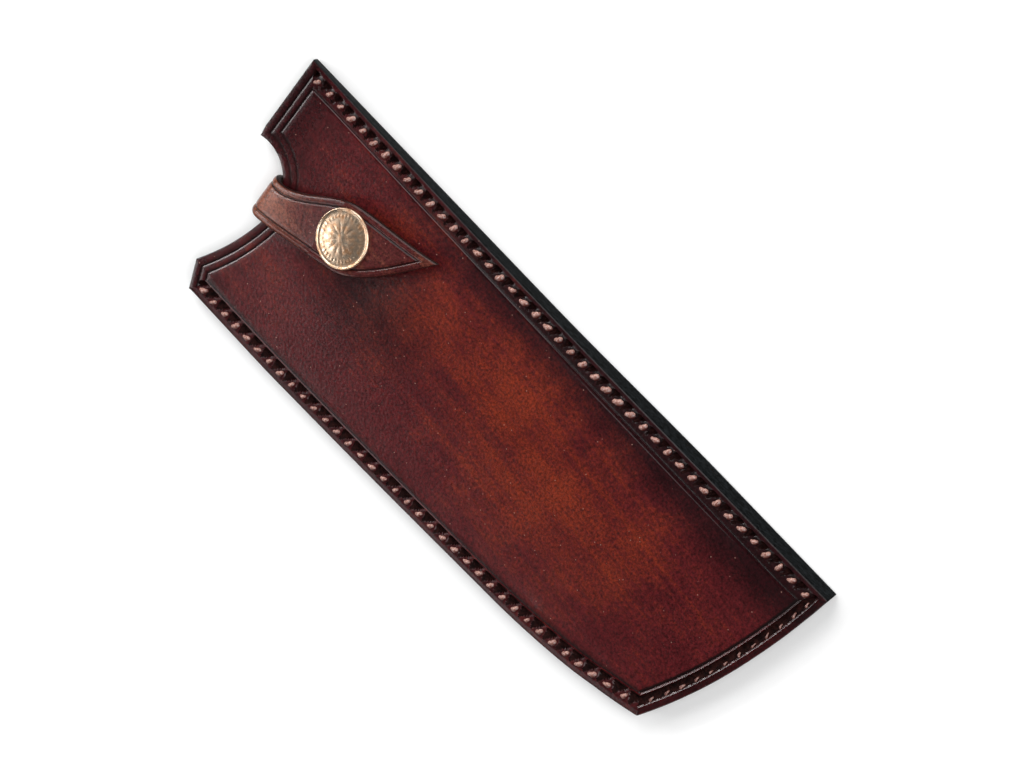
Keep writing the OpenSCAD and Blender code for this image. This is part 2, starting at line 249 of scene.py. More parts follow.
def grow(bm, ring, places):
    """Extrudes a closed ring of edges and moves each new point to its place."""
    edges = [bm.edges.get((a, b)) for a, b in zip(ring, ring[1:] + ring[:1])]
    made = bmesh.ops.extrude_edge_only(bm, edges=edges)["geom"]
    fresh = {v for v in made if isinstance(v, bmesh.types.BMVert)}
    new_ring = []
    for old, spot in zip(ring, places):
        twin = next(e.other_vert(old) for e in old.link_edges if e.other_vert(old) in fresh)
        twin.co = spot
        new_ring.append(twin)
    return new_ring


def first_ring(bm, places):
    """A closed ring of edges through the places."""
    ring = [bm.verts.new(spot) for spot in places]
    for a, b in zip(ring, ring[1:] + ring[:1]):
        bm.edges.new((a, b))
    return ring


def shade(bm, sharp_deg=38):
    """Smooth faces, with the edges left sharp where two faces meet at more than an angle."""
    bmesh.ops.recalc_face_normals(bm, faces=bm.faces)
    for face in bm.faces:
        face.smooth = True
    for edge in bm.edges:
        edge.smooth = edge.calc_face_angle(0) < math.radians(sharp_deg)


def make_piece(name, bm, materials):
    """Turns the mesh into an object at the origin, with its materials."""
    mesh = bpy.data.meshes.new(name)
    bm.to_mesh(mesh)
    bm.free()
    for material in materials:
        mesh.materials.append(material)
    piece = bpy.data.objects.new(name, mesh)
    bpy.context.scene.collection.objects.link(piece)
    return piece


# Materials
def hex_colour(code):
    """sRGB hex value as a linear colour."""
    parts = [int(code[i:i + 2], 16) / 255 for i in (1, 3, 5)]
    return [c / 12.92 if c <= 0.04045 else ((c + 0.055) / 1.055) ** 2.4 for c in parts] + [1.0]


def add(tree, kind, inputs=None, **settings):
    """Adds a node. Each input is a plain value, or the socket that feeds it."""
    node = tree.nodes.new("ShaderNode" + kind)
    for key, value in settings.items():
        setattr(node, key, value)
    for key, value in (inputs or {}).items():
        if isinstance(value, bpy.types.NodeSocket):
            tree.links.new(value, node.inputs[key])
        else:
            node.inputs[key].default_value = value
    return node


def per_mm(size):
    """Texture scale for a feature of that many millimetres."""
    return 1 / (size * MM)


def new_material(name):
    """An empty material and its node tree."""
    material = bpy.data.materials.new(name)
    material.use_nodes = True
    tree = material.node_tree
    tree.nodes.clear()
    return material, tree


def oiled_leather(name, deep, mid, warm, edge, patch_at, patch_turn, patch_size, shade_spot_at,
                  shine=0.28, margins=1.0):
    """Vegetable-tanned cowhide, spirit-dyed and waxed: red-brown, rubbed back to a warmer tone along the
    middle, darker towards the cutting edge and left darker at the mouth, with burnished creases and fine
    grain.
    Painted light is mixed into its colour: a painted shadow of the strap on the front, painted shade on the
    crease walls turned away from the lamps, and on the strap a light tan painted highlight on the fold."""
    material, tree = new_material(name)
    where = add(tree, "TexCoord").outputs["Object"]
    inset = add(tree, "Attribute", attribute_name="inset").outputs["Fac"]
    crease = add(tree, "Attribute", attribute_name="crease").outputs["Fac"]

    # Dye: a warm patch where it was rubbed back, clouds 18 mm across, strokes of the dauber 1.8 mm wide
    # and 60 mm long, and mottling 1.2 mm across. On the strap the warm patch lies on the fold: a painted
    # highlight.
    cloud = add(tree, "TexNoise", {"Vector": where, "Scale": per_mm(18), "Detail": 4, "Roughness": 0.55})
    stroke = add(tree, "Mapping", {"Vector": where, "Rotation": (0, 0, patch_turn),
                                   "Scale": (60, 1.8, 5)}, vector_type="TEXTURE")
    streak = add(tree, "TexNoise", {"Vector": stroke.outputs[0], "Scale": per_mm(1), "Detail": 4,
                                    "Roughness": 0.6})
    mottle = add(tree, "TexNoise", {"Vector": where, "Scale": per_mm(1.2), "Detail": 4, "Roughness": 0.7})
    spot = add(tree, "Mapping", {"Vector": where, "Location": patch_at, "Rotation": (0, 0, patch_turn),
                                 "Scale": patch_size}, vector_type="TEXTURE")
    patch = add(tree, "TexGradient", {"Vector": spot.outputs[0]}, gradient_type="SPHERICAL")
    uneven = add(tree, "Math", {0: streak.outputs["Fac"], 1: 0.7, 2: cloud.outputs["Fac"]},
                 operation="MULTIPLY_ADD")
    uneven = add(tree, "Math", {0: mottle.outputs["Fac"], 1: 0.7, 2: uneven.outputs[0]},
                 operation="MULTIPLY_ADD")
    uneven = add(tree, "MapRange", {"Value": uneven.outputs[0], "From Min": 0.9, "From Max": 1.5,
                                    "To Min": -0.5, "To Max": 0.5})
    warm_share = add(tree, "Math", {0: patch.outputs["Fac"], 1: 0.75, 2: uneven.outputs[0]},
                 operation="MULTIPLY_ADD")
    warm_share = add(tree, "MapRange", {"Value": warm_share.outputs[0], "From Min": 0.0, "From Max": 1.1},
                 interpolation_type="SMOOTHSTEP")
    dye = add(tree, "Mix", {0: warm_share.outputs[0], 6: hex_colour(mid), 7: hex_colour(warm)},
              data_type="RGBA")

    # Darker towards the cutting edge past the strap, and laid on thicker at the mouth and outside the
    # creases.
    # The dark spot beside the strap on the front is a painted shadow of the strap. On the strap the deep
    # tone at
    # its mouth end is a light tan: a painted highlight on the fold.
    axes = add(tree, "SeparateXYZ", {"Vector": where})
    slant = add(tree, "Math", {0: axes.outputs["X"], 1: 0.04, 2: axes.outputs["Y"]},
                operation="MULTIPLY_ADD")
    by_edge = add(tree, "MapRange", {"Value": slant.outputs[0], "From Min": 0.018, "From Max": 0.034,
                                     "To Max": margins}, interpolation_type="SMOOTHSTEP")
    past_strap = add(tree, "MapRange", {"Value": axes.outputs["X"], "From Min": -0.085,
                                        "From Max": -0.03})
    by_edge = add(tree, "Math", {0: by_edge.outputs[0], 1: past_strap.outputs[0]}, operation="MULTIPLY")
    by_mouth = add(tree, "MapRange", {"Value": axes.outputs["X"], "From Min": -0.075, "From Max": -0.108,
                                      "To Max": 0.8}, interpolation_type="SMOOTHSTEP")
    by_rim = add(tree, "MapRange", {"Value": inset, "From Min": 6.5, "From Max": 2.0,
                                    "To Max": 0.6 * margins})
    # A painted shadow of the strap: a dark spot beside it, placed on the front
    shade_spot = add(tree, "Mapping", {"Vector": where, "Location": shade_spot_at, "Scale": (0.030, 0.022, 0.03)},
               vector_type="TEXTURE")
    shade_spot = add(tree, "TexGradient", {"Vector": shade_spot.outputs[0]}, gradient_type="SPHERICAL")
    half_shade_spot = add(tree, "Math", {0: shade_spot.outputs["Fac"], 1: 0.5}, operation="MULTIPLY")
    filled = add(tree, "Math", {0: by_mouth.outputs[0], 1: half_shade_spot.outputs[0]}, operation="MAXIMUM")
    deep_share = by_mouth
    for more in (shade_spot.outputs["Fac"], by_edge.outputs[0], by_rim.outputs[0]):
        deep_share = add(tree, "Math", {0: deep_share.outputs[0], 1: more}, operation="MAXIMUM")
    deep_share = add(tree, "Math", {0: uneven.outputs[0], 1: -0.5, 2: deep_share.outputs[0]},
                operation="MULTIPLY_ADD", use_clamp=True)
    dye = add(tree, "Mix", {0: deep_share.outputs[0], 6: dye.outputs[2], 7: hex_colour(deep)},
              data_type="RGBA")

    # Grain: pebbles 0.9 mm across with finer pores, drawn a little coarse so that they show
    pebble = add(tree, "TexVoronoi", {"Vector": where, "Scale": per_mm(0.9), "Randomness": 1.0},
                 feature="F1")
    pore = add(tree, "TexNoise", {"Vector": where, "Scale": per_mm(0.8), "Detail": 4, "Roughness": 0.8})
    pit = add(tree, "MapRange", {"Value": pore.outputs["Fac"], "From Min": 0.36, "From Max": 0.64,
                                 "To Min": 0.35, "To Max": 1.65})
    dye = add(tree, "VectorMath", {0: dye.outputs[2], 1: pit.outputs[0]}, operation="MULTIPLY")

    # Specks of pale dust a third of a millimetre across. The pattern has one every 3 mm each way, also in
    # depth, so about one in eight shows and they lie some 8 mm apart.
    dust = add(tree, "TexVoronoi", {"Vector": where, "Scale": per_mm(3), "Randomness": 1.0}, feature="F1")
    speck = add(tree, "MapRange", {"Value": dust.outputs["Distance"], "From Min": 0.065, "From Max": 0.04,
                                   "To Max": 0.7})
    dye = add(tree, "Mix", {0: speck.outputs[0], 6: dye.outputs[0], 7: hex_colour("#9c7468")},
              data_type="RGBA")

    # Creases hold dye, with painted shade on the wall turned away from the lamps, and the arris is burnished
    marked = add(tree, "Mix", {0: crease, 6: dye.outputs[2], 7: hex_colour("#0a0404")}, data_type="RGBA")
    margin = add(tree, "MapRange", {"Value": inset, "From Min": 0.1, "From Max": 0.4},
                 interpolation_type="SMOOTHSTEP")
    colour = add(tree, "Mix", {0: margin.outputs[0], 6: hex_colour(edge), 7: marked.outputs[2]},
                 data_type="RGBA")

    # Wax lies unevenly. It fills the grain at the mouth and beside the strap, and the walls of the creases
    # are polished.
    wax = add(tree, "MapRange", {"Value": cloud.outputs["Fac"], "From Min": 0.3, "From Max": 0.7,
                                 "To Min": 0.29, "To Max": 0.35})
    wax = add(tree, "Math", {0: filled.outputs[0], 1: -0.08, 2: wax.outputs[0]}, operation="MULTIPLY_ADD")
    polish = add(tree, "Attribute", attribute_name="polish").outputs["Fac"]
    gloss = add(tree, "Mix", {0: polish, 2: wax.outputs[0], 3: 0.22})
    slick = add(tree, "Math", {0: filled.outputs[0], 1: 0.8, 2: polish}, operation="MULTIPLY_ADD",
                use_clamp=True)
    relief = add(tree, "MapRange", {"Value": slick.outputs[0], "To Min": 0.4, "To Max": 0.05})
    height = add(tree, "Math", {0: pebble.outputs["Distance"], 1: pore.outputs["Fac"]}, operation="ADD")
    grain = add(tree, "Bump", {"Height": height.outputs[0], "Strength": relief.outputs[0],
                               "Distance": 0.1 * MM})
    shader = add(tree, "BsdfPrincipled",
                 {"Base Color": colour.outputs[2], "Roughness": gloss.outputs[0],
                  "Normal": grain.outputs[0], "Specular IOR Level": shine})
    add(tree, "OutputMaterial", {"Surface": shader.outputs[0]})
    return material


def flesh_side():
    """The unfinished inner face of the hide: a short brown nap with no gloss."""
    material, tree = new_material("leather_flesh_side")
    where = add(tree, "TexCoord").outputs["Object"]
    nap = add(tree, "TexNoise", {"Vector": where, "Scale": per_mm(0.5), "Detail": 5, "Roughness": 0.7})
    tone = add(tree, "MapRange", {"Value": nap.outputs["Fac"], "From Min": 0.3, "From Max": 0.7})
    colour = add(tree, "Mix", {0: tone.outputs[0], 6: hex_colour("#3a2219"), 7: hex_colour("#6a4530")},
                 data_type="RGBA")
    bump = add(tree, "Bump", {"Height": nap.outputs["Fac"], "Strength": 0.5, "Distance": 0.15 * MM})
    shader = add(tree, "BsdfPrincipled", {"Base Color": colour.outputs[2], "Roughness": 0.9,
                                          "Normal": bump.outputs[0], "Sheen Weight": 0.2})
    add(tree, "OutputMaterial", {"Surface": shader.outputs[0]})
    return material


def dark_matte_finish(name, low, high):
    """Cut leather, dyed black and rubbed down: no gloss, with short fibre streaks 0.6 mm wide. The same dark
    matte also fills a seam's channel and holes as painted shade.
    """
    material, tree = new_material(name)
    where = add(tree, "TexCoord").outputs["Object"]
    long_way = add(tree, "Mapping", {"Vector": where, "Scale": (0.35, 0.35, 1.0)})
    fibre = add(tree, "TexNoise", {"Vector": long_way.outputs[0], "Scale": per_mm(0.6), "Detail": 4,
                                   "Roughness": 0.8})
    tone = add(tree, "MapRange", {"Value": fibre.outputs["Fac"], "From Min": 0.42, "From Max": 0.64})
    colour = add(tree, "Mix", {0: tone.outputs[0], 6: hex_colour(low), 7: hex_colour(high)},
                 data_type="RGBA")
    bump = add(tree, "Bump", {"Height": fibre.outputs["Fac"], "Strength": 0.5, "Distance": 0.1 * MM})
    shader = add(tree, "BsdfPrincipled", {"Base Color": colour.outputs[2], "Roughness": 0.6,
                                          "Normal": bump.outputs[0], "Specular IOR Level": 0.03})
    add(tree, "OutputMaterial", {"Surface": shader.outputs[0]})
    return material


def waxed_thread():
    """Thick waxed linen thread, copper pink, with a soft gloss on its twisted strands. It is darker where it
    dives into a hole, with dye from the leather and painted shade, and painted lighter on the side towards
    the
    lamps: a painted highlight."""
    material, tree = new_material("waxed_thread")
    where = add(tree, "TexCoord").outputs["Object"]
    strand = add(tree, "TexNoise", {"Vector": where, "Scale": per_mm(0.4), "Detail": 3, "Roughness": 0.6})
    tone = add(tree, "MapRange", {"Value": strand.outputs["Fac"], "From Min": 0.3, "From Max": 0.7})
    bright_tone = add(tree, "Mix", {0: tone.outputs[0], 6: hex_colour("#7c4034"), 7: hex_colour("#e0b4a6")},
                data_type="RGBA")
    # Share of the bright tone: painted highlight on the side towards the lamps, dye and painted shade low in
    # the hole
    lit_and_clean = add(tree, "Attribute", attribute_name="lit_and_clean").outputs["Fac"]
    colour = add(tree, "Mix", {0: lit_and_clean, 6: hex_colour("#3c1210"), 7: bright_tone.outputs[2]}, data_type="RGBA")
    bump = add(tree, "Bump", {"Height": strand.outputs["Fac"], "Strength": 0.4, "Distance": 0.12 * MM})
    shader = add(tree, "BsdfPrincipled", {"Base Color": colour.outputs[2], "Roughness": 0.24,
                                          "Normal": bump.outputs[0]})
    add(tree, "OutputMaterial", {"Surface": shader.outputs[0]})
    return material


def stamped_metal(name, low, high, roughness):
    """Stamped or drawn metal with a soft polish, darker and duller in tarnished spots 1.6 mm across."""
    material, tree = new_material(name)
    where = add(tree, "TexCoord").outputs["Object"]
    tarnish = add(tree, "TexNoise", {"Vector": where, "Scale": per_mm(1.6), "Detail": 5,
                                     "Roughness": 0.6})
    tone = add(tree, "MapRange", {"Value": tarnish.outputs["Fac"], "From Min": 0.32, "From Max": 0.68})
    colour = add(tree, "Mix", {0: tone.outputs[0], 6: hex_colour(low), 7: hex_colour(high)},
                 data_type="RGBA")
    polish = add(tree, "MapRange", {"Value": tarnish.outputs["Fac"], "From Min": 0.3, "From Max": 0.7,
                                    "To Min": roughness + 0.08, "To Max": roughness - 0.06})
    shader = add(tree, "BsdfPrincipled", {"Base Color": colour.outputs[2], "Metallic": 1.0,
                                          "Roughness": polish.outputs[0]})
    add(tree, "OutputMaterial", {"Surface": shader.outputs[0]})
    return material


# On the front the dark spot at shade_spot_at / shade_spot_at is a painted shadow of the strap
front_leather = oiled_leather(
    "front_oiled_leather", deep="#1e0508", mid="#451114", warm="#66210f", edge="#100c0c",
    patch_at=(0.008, 0.0065, 0.006), patch_turn=math.radians(-5), patch_size=(0.105, 0.034, 0.1),
    shade_spot_at=(-0.050, 0.0, 0.006))
back_leather = oiled_leather(
    "back_oiled_leather", deep="#22050a", mid="#461113", warm="#64220f", edge="#100c0c",
    patch_at=(0.0, 0.0, 0.0), patch_turn=0.0, patch_size=(0.1, 0.036, 0.1),
    shade_spot_at=(0.06, 0.01, 0.0))
# The strap's deep tone is a light tan at its mouth end, and its warm patch sits on the fold: both are a
# painted highlight on the fold
strap_leather = oiled_leather(
    "strap_oiled_leather", deep="#945a42", mid="#451b1b", warm="#53251f", edge="#241310",
    patch_at=(-0.092, -0.001, 0.008), patch_turn=0.0, patch_size=(0.03, 0.02, 0.03),
    shade_spot_at=(0.0, 0.0, 0.0), shine=0.25, margins=0.0)
flesh = flesh_side()
edge_finish = dark_matte_finish("burnished_leather_edge", "#000101", "#1b1e20")
# The seam's channel gets the same dark matte as painted shade
channel_shade = dark_matte_finish("painted_shade_seam_channel", "#0c0404", "#26100e")
thread = waxed_thread()
cap_brass = stamped_metal("cap_pale_brass", "#c8956c", "#fde6cc", 0.32)
snap_brass = stamped_metal("snap_brass", "#8f6f3c", "#c8a868", 0.3)
spring_steel = stamped_metal("spring_steel", "#8c8f92", "#c4c7ca", 0.25)


# Panels
def pit_depth(side, t, inset):
    """How far a place along a side is inside a hole of its seam: 1 in the hole, 0 between holes. The
    holes are slanted, and longer on the side that the thread pulls away from."""
    for seam_side, _, first, last, count, slant, half in SEAMS.values():
        if seam_side is side:
            pitch = (last - first) / count
            t -= first + slant * (inset - 3)
            number = min(count, max(0, round(t / pitch)))
            half = max(0.4, half + 1.2 * slant * (inset - 3.2))
            return math.exp(-((t - number * pitch) / half) ** 4)
    return 0.0


# Cross sections of a panel's face from the cut edge inwards. Each row has the inset, the height, how far
# it sinks and sways outwards at a hole, and how dark it is coloured. Dark in a crease is dye, painted darker
# on the wall turned away from the lamps: painted shade. Dark in the seam's channel is painted shade. A row
# that doesn't sink and is only a little dark, less than POLISHED, is on the polished wall of a crease.
POLISHED = 0.25
ARRIS = ((0.0, -0.75, 0, 0, 0), (0.10, -0.36, 0, 0, 0), (0.33, -0.12, 0, 0, 0), (0.75, -0.02, 0, 0, 0))
EDGE_SECTION = ARRIS + (
    (1.15, 0.00, 0, 0, 0), (1.45, -0.02, 0.15, 0.15, 0.3), (1.65, -0.08, 0.75, 0.15, 0.9),
    (2.00, -0.16, 1.25, 0.1, 1), (2.50, -0.22, 1.4, 0, 1), (3.00, -0.26, 1.2, 0, 1),
    (3.50, -0.26, 0.8, 0, 1), (4.00, -0.18, 0.4, 0, 0.8), (4.40, -0.06, 0.15, 0, 0.5),
    (4.80, 0.00, 0, 0, 0.3), (5.30, 0.00, 0, 0, 0.3),
    (5.70, -0.03, 0, 0, 0.6), (5.88, -0.11, 0, 0, 0.9), (6.00, -0.16, 0, 0, 0.9),
    (6.06, -0.15, 0, 0, 0.2), (6.29, 0.00, 0, 0, 0.2), (7.20, 0.03, 0, 0, 0))
SPINE_SECTION = (
    (0.0, -1.00, 0, 0, 0), (0.10, -0.66, 0, 0, 0), (0.33, -0.48, 0, 0, 0), (0.75, -0.32, 0, 0, 0),
    (1.40, -0.11, 0, 0, 0), (1.90, -0.01, 0, 0, 0), (2.30, -0.06, 0.15, 0, 0.3),
    (2.75, -0.16, 0.3, 0, 0.5), (3.30, -0.24, 0.6, 0, 0.8), (3.85, -0.26, 1.1, 0, 1),
    (4.35, -0.24, 1.3, 0, 1), (4.75, -0.20, 1.2, 0, 1), (5.08, -0.08, 0.6, -0.05, 0.9),
    (5.30, 0.00, 0.12, 0, 0.3), (5.50, 0.00, 0, 0, 0.2),
    (5.72, -0.14, 0, 0, 0.2), (5.76, -0.16, 0, 0, 0.9), (6.00, -0.12, 0, 0, 0.9),
    (6.30, -0.05, 0, 0, 0.7), (6.80, 0.00, 0, 0, 0.3), (7.60, 0.03, 0, 0, 0))
TIP_SECTION = ARRIS[:3] + (
    (0.75, -0.02, 0, 0, 0.4), (1.30, 0.00, 0, 0, 0.55), (2.03, 0.00, 0, 0.08, 0.15),
    (2.47, -0.235, 0, 0.1, 0.15), (2.62, -0.40, 0.15, 0.1, 0.8), (2.95, -0.55, 0.2, 0.05, 1),
    (3.40, -0.60, 0.2, 0, 1),
    (4.10, -0.60, 0.2, 0, 1), (4.50, -0.40, 0.15, 0, 0.9), (4.72, -0.06, 0, 0, 0.3),
    (4.79, 0.00, 0, 0, 0), (4.86, 0.00, 0, 0, 0.2),
    (5.20, -0.165, 0, 0, 0.2), (5.30, -0.20, 0, 0, 0.9), (5.60, -0.16, 0, 0, 1),
    (5.92, -0.05, 0, 0, 0.8), (6.25, 0.00, 0, 0, 0), (7.40, 0.03, 0, 0, 0))
MOUTH_SECTION = (
    (0.0, -0.60, 0, 0, 0), (0.06, -0.28, 0, 0, 0), (0.16, -0.10, 0, 0, 0), (0.40, -0.01, 0, 0, 0),
    (1.40, 0.00, 0, 0, 0), (2.15, 0.00, 0, 0, 0.4), (2.42, -0.04, 0, 0, 0.9),
    (2.62, -0.14, 0, 0, 1), (2.76, -0.17, 0, 0, 1), (2.82, -0.15, 0, 0, 0.2),
    (3.12, -0.05, 0, 0, 0.2), (3.30, 0.00, 0, 0, 0), (4.10, 0.02, 0, 0, 0),
    (4.52, 0.00, 0, 0, 0.4), (4.78, -0.04, 0, 0, 0.9),
    (4.98, -0.14, 0, 0, 1), (5.12, -0.17, 0, 0, 1), (5.18, -0.15, 0, 0, 0.2),
    (5.48, -0.05, 0, 0, 0.2), (5.66, 0.00, 0, 0, 0), (6.90, 0.03, 0, 0, 0))
SECTIONS = (EDGE_SECTION, TIP_SECTION, SPINE_SECTION, MOUTH_SECTION, MOUTH_SECTION, MOUTH_SECTION)


# How far the front swells over the pocket, how far from the cut edge the swell starts, and the size of
# the oblongs that it is cut into
SWELL = 1.3
SWELL_INSET = 6.5
OBLONG_L = 8
OBLONG_W = 4


def crown(u, v):
    """How far the field of the front is raised. It is pressed flat round the snap, and falls off towards
    the mouth and the tip."""
    middle = spine_v(u) / 2
    across = max(0.0, 1 - ((v - middle) / (middle - SWELL_INSET)) ** 2)
    pressed = smooth_step(((Vector((u, v)) - SNAP_UV).length - 9) / 13)
    return SWELL * across * pressed * smooth_step((u - 17) / 50) * smooth_step((206 - u) / 50)


def swell(bm, field):
    """Cuts the field into small oblongs and raises them."""
    part = [field] + field.edges[:] + field.verts[:]
    rim = set(field.verts)
    cuts = [((u, 0), (1, 0, 0)) for u in range(OBLONG_L, int(SHEATH_L), OBLONG_L)]
    cuts += [((0, v), (0, 1, 0)) for v in range(2 * OBLONG_W, int(SHEATH_W) - OBLONG_W, OBLONG_W)]
    for spot, way in cuts:
        part = bmesh.ops.bisect_plane(bm, geom=part, dist=1e-7, plane_co=place(spot, 0),
                                      plane_no=way)["geom"]
    for vert in {v for v in part if isinstance(v, bmesh.types.BMVert)} - rim:
        u, v = vert.co.x / MM + SHEATH_L / 2, SHEATH_W / 2 - vert.co.y / MM
        vert.co.z += crown(u, v) * MM


# Inset where the creased lines of a side start
CREASE_FROM = {edge_at: 5.0, tip_at: 4.8, spine_at: 5.2, mouth_curve_at: 1.0}


def row_along(side, t, row):
    """A row of a cross section at a distance along its side, and how far it strays inwards. The creases
    were drawn by hand: the edge's strays and gets shallower towards the tip, the spine's gets shallower
    there too, the tip's gets deeper towards the spine, and those round the notch are faint dark lines."""
    inset, height, sink, sway, dark = row
    stray = 0.0
    if sink or inset <= CREASE_FROM.get(side, math.inf):
        return inset, height, sink, sway, dark, stray
    if side is edge_at:
        part = t / SHEATH_L
        height *= 1.3 - 1.4 * part + 0.7 * part * part
        stray = (0.9 * part - 0.3) * smooth_step(t / 15) * smooth_step((SHEATH_L - t) / 15)
    elif side is tip_at:
        height *= 0.92 + 0.32 * t / TIP_ARC
    elif side is spine_at:
        height *= 1 - 0.5 * smooth_step((t - 90) / 80)
    else:
        faint = smooth_step((t - SWEEP_L) / 4)
        height *= 1 - 0.85 * faint
        dark += 0.4 * faint if 0 < dark < POLISHED else -0.3 * faint * dark
    return inset, height, sink, sway, dark, stray


# Distance between the points of a panel's outline, and its material slots
STATION = 0.36
GRAIN, FLESH, CUT_EDGE, CHANNEL = range(4)
# The back has no arris where it runs on into the strap: it starts this far from the strap's middle and is
# full after the ease
ROOT_FREE = 5.6
ROOT_EASE = 1.2


def leather_panel(name, inside_z, face_z, grain):
    """One panel: a flat inner face, a cut edge with a rounded arris, a sunk seam with a pit at each
    hole, and creased lines round the field. The back runs on into the root of the strap."""
    bm = bmesh.new()
    layers = [bm.verts.layers.float.new(mark) for mark in ("inset", "crease", "polish", "deep")]
    inset_mark, deep_mark = layers[0], layers[3]
    up = 1 if face_z > inside_z else -1
    wall = (0.0, -abs(face_z - inside_z), 0, 0, 0)

    def ring_places(rows):
        spots, marks = [], []
        for k, t in ring_stations(SIDES, [row[0] for row in rows], STATION):
            side = SIDES[k][0]
            inset, height, sink, sway, dark, stray = row_along(side, t, rows[k])
            near = pit_depth(side, t, inset) if sink or sway else 0.0
            if up < 0 and side is mouth_curve_at and height > wall[1]:
                from_root = abs(side(t, inset).y - sum(STRAP_V) / 2)
                free = smooth_step((from_root - ROOT_FREE) / ROOT_EASE)
                height *= free
                dark *= free
            z = face_z + up * (height - sink * near)
            spots.append(place(trimmed(side(t, inset + stray - sway * near), z), z))
            in_channel = inset > 1 and height < -0.3
            in_hole = sink > 0.1 and near > 0.3
            # Painted shade in the seam's channel: full in the holes, and a share of it between them
            if sink:
                shade_off_hole = 0.75 if side is edge_at and inset < 2.8 else 0.3
                dark *= shade_off_hole + (1 - shade_off_hole) * near
            polished = sink == 0 and 0 < dark < POLISHED
            marks.append((inset, dark, float(polished), float(in_channel or in_hole)))
        return spots, marks

    ring = first_ring(bm, ring_places([wall] * len(SIDES))[0])
    inner_face = bm.faces.new(ring)
    for rows in zip(*SECTIONS):
        spots, marks = ring_places(rows)
        ring = grow(bm, ring, spots)
        for vert, values in zip(ring, marks):
            for layer, value in zip(layers, values):
                vert[layer] = value
    # The cut edge is burnished, and the channel of the seam and its holes get near-black painted shade
    for face in bm.faces:
        if max(v[inset_mark] for v in face.verts) < 0.2:
            face.material_index = CUT_EDGE
        elif sum(v[deep_mark] for v in face.verts) > 1.5:
            face.material_index = CHANNEL
    field = bm.faces.new(ring)
    inner_face.material_index = FLESH
    field.material_index = GRAIN
    if up > 0:
        swell(bm, field)
    bm.verts.layers.float.remove(deep_mark)
    shade(bm, 20)
    return make_piece(name, bm, (grain, flesh, edge_finish, channel_shade))


front_panel = leather_panel("front_leather_panel", FRONT_Z, TOP_Z, front_leather)
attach(front_panel, "sheath")
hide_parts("front_panel")

back_panel = leather_panel("back_leather_panel", BACK_T, 0.0, back_leather)
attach(back_panel, "sheath")
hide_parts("back_panel")


def trimmed_welt(name, node):
    """A strip of leather between the panels, trimmed together with them."""
    bm = bmesh.new()
    bm.from_mesh(nodes[node].data)
    bmesh.ops.remove_doubles(bm, verts=bm.verts, dist=1e-6)
    for u in range(10, int(SHEATH_L), 10):
        bmesh.ops.bisect_plane(bm, geom=bm.verts[:] + bm.edges[:] + bm.faces[:], dist=1e-7,
                               plane_co=place((u, 0), 0), plane_no=(1, 0, 0))
    for vert in bm.verts:
        u, v, z = vert.co / MM + Vector((SHEATH_L / 2, 0, 0))
        vert.co = place(trimmed((u, SHEATH_W / 2 - v), z), z)
    shade(bm)
    piece = make_piece(name, bm, (edge_finish,))
    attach(piece, "sheath")
    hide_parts(node)


trimmed_welt("edge_welt_strip", "edge_welt")
trimmed_welt("tip_welt_strip", "tip_welt")
trimmed_welt("spine_welt_strip", "spine_welt")


# Stitches: the middle line of one of scale 1, with x along the seam, y across it, z out of the face and
# the thread's radius
STITCH_PATH = ((-1.35, -0.74, -1.50, 0.30), (-1.05, -0.58, -0.80, 0.40), (-0.65, -0.38, -0.36, 0.46),
               (-0.20, -0.14, -0.20, 0.50), (0.20, 0.08, -0.04, 0.60), (0.60, 0.34, -0.14, 0.56),
               (0.86, 0.52, -0.80, 0.44), (0.96, 0.58, -1.50, 0.32))
STITCH_SIDES = 8
STITCH_TWIST = math.radians(40)


def stitch_mesh(bright_tone):
    """One stitch lying along X: a flattened thread that rises out of one hole, humps and dives into
    the next, with its two twisted strands showing."""
    bm = bmesh.new()
    lit_and_clean = bm.verts.layers.float.new("lit_and_clean")
    ring = bmesh.ops.create_circle(bm, cap_ends=True, segments=STITCH_SIDES, radius=1)["verts"]
    for number, (x, y, z, r) in enumerate(STITCH_PATH):
        ahead = STITCH_PATH[min(number + 1, len(STITCH_PATH) - 1)]
        behind = STITCH_PATH[max(number - 1, 0)]
        along = Vector(ahead[:3]) - Vector(behind[:3])
        turn = along.to_track_quat("Z", "Y").to_matrix().to_4x4()
        twist = Matrix.Rotation(number * STITCH_TWIST, 4, "Z")
        oval = Matrix.Diagonal((1.12, 0.88, 1, 1))
        spots = []
        for i in range(STITCH_SIDES):
            a = 2 * math.pi * i / STITCH_SIDES
            ply = r * (1 + 0.10 * math.cos(2 * a))
            spots.append(Matrix.Translation((x, y, z)) @ turn @ oval @ twist
                         @ Vector((ply * math.cos(a), ply * math.sin(a), 0)))
        if number == 0:
            for vert, spot in zip(ring, spots):
                vert.co = spot
        else:
            ring = grow(bm, ring, spots)
        # Lighter towards the lamps and higher up: painted highlight, with dye and painted shade low down
        for vert in ring:
            vert[lit_and_clean] = bright_tone * clamp(0.4 + 0.7 * (vert.co.y - vert.co.x) + 0.5 * vert.co.z)
    bm.faces.new(ring)
    bmesh.ops.recalc_face_normals(bm, faces=bm.faces)
    mesh = bpy.data.meshes.new("stitch")
    bm.to_mesh(mesh)
    bm.free()
    return mesh


# Stitches on the back: how far they are pressed in, and to what share of their height
BACK_SUNK = 0.35
BACK_FLAT = 0.4


